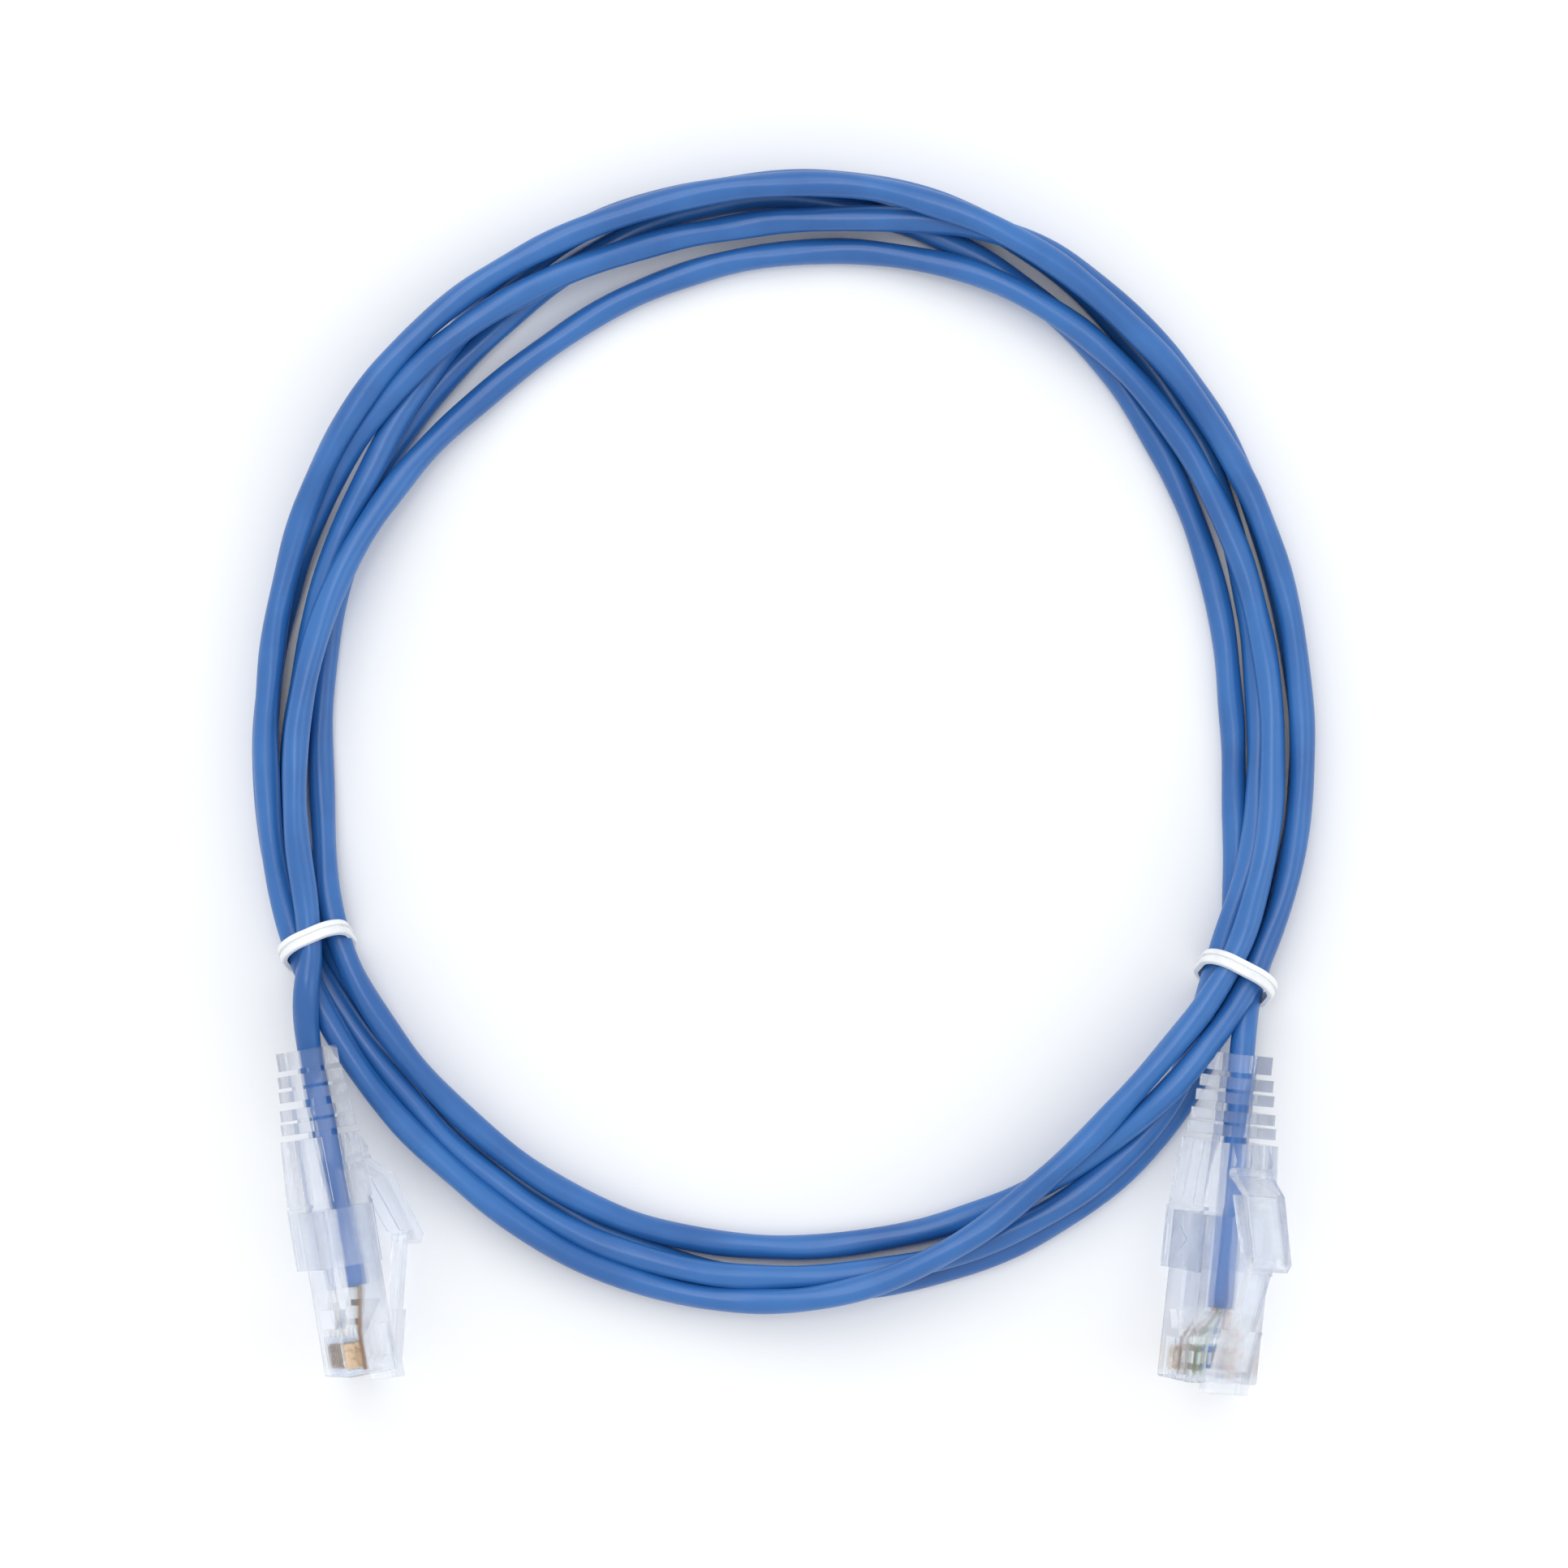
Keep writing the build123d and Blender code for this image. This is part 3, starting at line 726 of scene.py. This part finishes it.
# ------------------------------------------------------------------ the jacket
@dataclass
class Jacket:
    """The blue jacket: one cord with the twist of its pairs showing through.

    Args:
        diameter: over the vinyl, in metres.
        length: the cord's real length, in metres; not used.
        ring_step: distance between the skin's rings.
        ring_points: points round each ring.
        pair_lay: length in which the twisted pairs go once round.
        strand_lay: length in which the strands go once round.
        pair_swell: how far the pairs push the skin out, as a share of its radius.
        strand_swell: the same for the strands.
        dent_swell: the same for uneven dents.
        drift_rate: how quickly the twist's evenness changes, per metre.
        dent_rate: how closely the dents follow each other, per metre.
        wander: how far the cord strays from its route, in metres.
        wander_rate: how quickly it strays, per ring.
        wander_ease: length at each end over which it stops straying.
        cut_rim: radius at the cut ends, as a share of the cord's.
        route: where the cord runs.
    """

    diameter: float = 0.00325
    length: float = 2.04
    ring_step: float = 0.0010
    ring_points: int = 22
    pair_lay: float = 0.0340
    strand_lay: float = 0.0270
    pair_swell: float = 0.034
    strand_swell: float = 0.014
    dent_swell: float = 0.044
    drift_rate: float = 34.0
    dent_rate: float = 150.0
    wander: float = 0.00011
    wander_rate: float = 0.11
    wander_ease: float = 0.03
    cut_rim: float = 0.94
    route: CoilRoute = field(default_factory=CoilRoute)

    def curve(self) -> bpy.types.Object:
        """Draws the route.

        Returns:
            One smooth open spline with no thickness.
        """
        data = bpy.data.curves.new("jacket_route", "CURVE")
        data.dimensions = "3D"
        points = self.route.points()
        spline = data.splines.new("NURBS")
        spline.points.add(len(points) - 1)
        for slot, point in zip(spline.points, points):
            slot.co = (*point, 1.0)
        spline.order_u = 3
        spline.use_endpoint_u = True
        spline.resolution_u = 16
        made = bpy.data.objects.new("jacket_route", data)
        bpy.context.scene.collection.objects.link(made)
        return made

    def centreline(self) -> List[Vector]:
        """Reads the spline's own mesh.

        Returns:
            Its points, evenly spaced.
        """
        guide = self.curve()
        mesh = bpy.data.meshes.new_from_object(guide)
        raw = [v.co.copy() for v in mesh.vertices]
        bpy.data.meshes.remove(mesh)
        bpy.data.objects.remove(guide)
        line, carry = [raw[0]], 0.0
        for start, end in zip(raw, raw[1:]):
            run = (end - start).length
            while run > 0 and carry + run >= self.ring_step:
                share = (self.ring_step - carry) / run
                start = start.lerp(end, share)
                line.append(start)
                run, carry = (end - start).length, 0.0
            carry += run
        line[-1] = raw[-1]
        return line

    def swell(self, along: float, turn: float) -> float:
        """How far the skin stands out of its mean radius, as a share of it.

        Args:
            along: distance from the cord's start, in metres.
            turn: angle round the cord, in radians.

        Returns:
            The share, positive outwards.
        """
        drift = noise.noise(Vector((along * self.drift_rate, 3.1, 0.0)))
        pairs = math.cos(2 * (turn - 2 * math.pi * along / self.pair_lay) + 2.2 * drift)
        strands = math.cos(3 * turn + 2 * math.pi * along / self.strand_lay + 3.0 * drift)
        dents = noise.noise(Vector((along * self.dent_rate, math.cos(turn), math.sin(turn))))
        return self.pair_swell * pairs + self.strand_swell * strands + self.dent_swell * dents

    def build(self, material: bpy.types.Material) -> bpy.types.Object:
        """Args:
            material: the jacket's finish.

        Returns:
            The jacket's object.
        """
        line = self.centreline()
        radius, count = self.diameter / 2, self.ring_points
        tangents = []
        for i in range(len(line)):
            tangents.append((line[min(i + 1, len(line) - 1)] - line[max(i - 1, 0)]).normalized())
        side = tangents[0].orthogonal().normalized()
        vertices: List[Vector] = []
        for i, (middle, tangent) in enumerate(zip(line, tangents)):
            side = (side - tangent * side.dot(tangent)).normalized()
            other = tangent.cross(side)
            wobble = Vector(
                (
                    noise.noise(Vector((i * self.wander_rate, 7.0, 0.5))),
                    noise.noise(Vector((i * self.wander_rate, 1.7, 9.0))),
                    0.0,
                )
            )
            ends = min(i, len(line) - 1 - i) * self.ring_step
            middle = middle + wobble * self.wander * min(1.0, ends / self.wander_ease)
            rim = self.cut_rim if ends == 0 else 1.0
            for j in range(count):
                turn = 2 * math.pi * j / count
                reach = radius * rim * (1.0 + self.swell(i * self.ring_step, turn))
                vertices.append(
                    middle + (side * math.cos(turn) + other * math.sin(turn)) * reach
                )
        faces = [
            (
                i * count + j,
                i * count + (j + 1) % count,
                (i + 1) * count + (j + 1) % count,
                (i + 1) * count + j,
            )
            for i in range(len(line) - 1)
            for j in range(count)
        ]
        last = (len(line) - 1) * count
        faces.append(tuple(reversed(range(count))))
        faces.append(tuple(range(last, last + count)))
        mesh = bpy.data.meshes.new("jacket")
        mesh.from_pydata([tuple(v) for v in vertices], [], faces)
        mesh.update()
        mesh.shade_smooth()
        for cap in (mesh.polygons[-1], mesh.polygons[-2]):
            cap.use_smooth = False
        mesh.materials.append(material)
        made = bpy.data.objects.new("jacket", mesh)
        bpy.context.scene.collection.objects.link(made)
        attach(made, "cable")
        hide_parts("jacket_coil", "jacket_a", "jacket_b")
        far_plug = [
            bpy.data.objects[f"{part}_b"] for part in ("housing", "latch", "boot", "hood")
        ]
        for i in range(1, len(WIRING) + 1):
            far_plug.append(bpy.data.objects[f"contact_{i}_b"])
            far_plug.append(bpy.data.objects[f"conductor_{i}_b"])
        LOG.info("jacket: %d rings, %d faces", len(line), len(mesh.polygons))
        return made


# ------------------------------------------------------------------ plugs and ties
class Pair(Enum):
    """The four pairs' colours."""

    ORANGE = (0.62, 0.22, 0.05)
    GREEN = (0.05, 0.30, 0.12)
    BLUE = (0.05, 0.16, 0.48)
    BROWN = (0.26, 0.13, 0.06)


# Direction of the wires in each plug, from nose to boot.
PLUG_DIRECTIONS: Dict[str, Point] = {
    "a": (-0.165, 0.985, -0.042),
    "b": (0.108, 0.994, -0.021),
}

# Pair of each wire from the first contact to the eighth, and whether it is the pale wire.
WIRING: Tuple[Tuple[Pair, bool], ...] = (
    (Pair.ORANGE, True),
    (Pair.ORANGE, False),
    (Pair.GREEN, True),
    (Pair.BLUE, False),
    (Pair.BLUE, True),
    (Pair.GREEN, False),
    (Pair.BROWN, True),
    (Pair.BROWN, False),
)


def dress(node: str, material: bpy.types.Material) -> None:
    """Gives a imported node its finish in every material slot.

    Args:
        node: the node's name.
        material: its finish.
    """
    piece = bpy.data.objects[node]
    if not piece.material_slots:
        piece.data.materials.append(material)
    for slot in piece.material_slots:
        slot.material = material
    LOG.info("%s: %s", node, material.name)


@dataclass
class PlugEnd:
    """One end of the cable: housing, latch, contacts, wires, boot and hood.

    Args:
        tag: the end's letter in the nodes' names.
        along: the direction of the wires, from nose to boot.
    """

    tag: str
    along: Point

    def build(
        self,
        housing: bpy.types.Material,
        boot: bpy.types.Material,
        contact: bpy.types.Material,
    ) -> None:
        """Dresses the nodes of this end.

        Args:
            housing: finish of the housing and its latch.
            boot: finish of the boot and its hood.
            contact: finish of the eight contacts.
        """
        for part in ("housing", "latch"):
            dress(f"{part}_{self.tag}", housing)
        for part in ("boot", "hood"):
            dress(f"{part}_{self.tag}", boot)
        for i, (pair, striped) in enumerate(WIRING, start=1):
            dress(f"contact_{i}_{self.tag}", contact)
            wire = WireInsulation(
                f"{pair.name.lower()}_{self.tag}", pair.value, striped, self.along
            )
            dress(f"conductor_{i}_{self.tag}", wire.build())


# ------------------------------------------------------------------ studio
@dataclass(frozen=True)
class Lamp:
    """One soft square light that points at the middle of the table.

    Args:
        name: the light's name.
        place: where it hangs, in metres.
        size: its side, in metres.
        power: in watts.
        aim: what it points at.
    """

    name: str
    place: Point
    size: float
    power: float
    aim: Point = (0.0, 0.0, 0.0)

    def build(self) -> None:
        """Hangs the light."""
        data = bpy.data.lights.new(self.name, "AREA")
        data.shape, data.size, data.energy = "SQUARE", self.size, self.power
        made = bpy.data.objects.new(self.name, data)
        made.location = self.place
        made.rotation_mode = "QUATERNION"
        beam = Vector(self.aim) - Vector(self.place)
        made.rotation_quaternion = beam.to_track_quat("-Z", "Y")
        bpy.context.scene.collection.objects.link(made)


@dataclass
class Studio:
    """The table, the lights and the camera straight above.

    Args:
        height: of the camera over the table, in metres.
        view_width: what the frame takes in at the strands' level.
        strand_level: the height at which view_width is measured.
        sensor: width of the camera's sensor, in millimetres.
        table_size: the table's side.
        table_drop: how far the table lies under the strands.
        clear_walls: how many clear walls light may pass.
        surroundings: colour of the light from all round.
        surroundings_strength: its strength.
        lamps: the soft lights.
    """

    height: float = 0.65
    view_width: float = 0.2034
    strand_level: float = 0.004
    sensor: float = 36.0
    table_size: float = 4.0
    table_drop: float = 0.00015
    clear_walls: int = 28
    surroundings: Colour = (0.96, 0.98, 1.0)
    surroundings_strength: float = 0.90
    lamps: Tuple[Lamp, ...] = (
        Lamp("softbox_far", (-0.25, 0.75, 0.95), size=0.7, power=3.0),
        Lamp("softbox_above", (-0.10, 0.20, 1.10), size=0.30, power=1.4),
        Lamp("softbox_right", (0.95, -0.10, 0.70), size=0.6, power=1.2),
    )

    def table(self) -> None:
        """Makes the table top."""
        half, z = self.table_size / 2, -self.table_drop
        mesh = bpy.data.meshes.new("table_top")
        mesh.from_pydata(
            [(-half, -half, z), (half, -half, z), (half, half, z), (-half, half, z)],
            [],
            [(0, 1, 2, 3)],
        )
        mesh.materials.append(TableTop().build())
        made = bpy.data.objects.new("table_top", mesh)
        bpy.context.scene.collection.objects.link(made)

    def lights(self) -> None:
        """Adds the soft lights and the pale surroundings."""
        for lamp in self.lamps:
            lamp.build()
        world = bpy.data.worlds.new("surroundings")
        world.use_nodes = True
        back = world.node_tree.nodes["Background"]
        back.inputs["Color"].default_value = rgba(self.surroundings)
        back.inputs["Strength"].default_value = self.surroundings_strength
        bpy.context.scene.world = world

    def camera(self) -> None:
        """Adds the camera, looking straight down."""
        data = bpy.data.cameras.new("camera")
        data.sensor_width = self.sensor
        data.lens = self.sensor * (self.height - self.strand_level) / self.view_width
        made = bpy.data.objects.new("camera", data)
        made.location = (0.0, 0.0, self.height)
        bpy.context.scene.collection.objects.link(made)
        bpy.context.scene.camera = made

    def build(self) -> None:
        """Makes the whole studio."""
        self.table()
        self.lights()
        self.camera()
        bpy.context.scene.view_settings.view_transform = "Standard"
        # the plug, sleeve and guard stack up to a dozen clear walls over each other
        paths = bpy.context.scene.cycles
        paths.max_bounces = self.clear_walls
        paths.transmission_bounces = self.clear_walls
        paths.transparent_max_bounces = self.clear_walls


def main() -> None:
    """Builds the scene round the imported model."""
    logging.basicConfig(level=logging.INFO, format="%(name)s %(message)s")
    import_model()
    Studio().build()
    Jacket().build(JacketVinyl().build())
    housing = ClearPlastic(
        "clear_housing",
        tint=(0.97, 0.98, 1.0),
        clouded=(0.93, 0.95, 0.98),
        roughness=0.04,
        haze=0.02,
    ).build()
    boot = ClearPlastic(
        "clear_boot",
        tint=(0.96, 0.97, 0.99),
        clouded=(0.90, 0.93, 0.97),
        roughness=0.08,
        haze=0.05,
    ).build()
    gold = GoldPlate().build()
    for tag, along in PLUG_DIRECTIONS.items():
        PlugEnd(tag, along).build(housing, boot, gold)
    tie_finish = TieVinyl().build()
    for side in ("left", "right"):
        dress(f"tie_{side}", tie_finish)


if __name__ == "__main__":
    main()
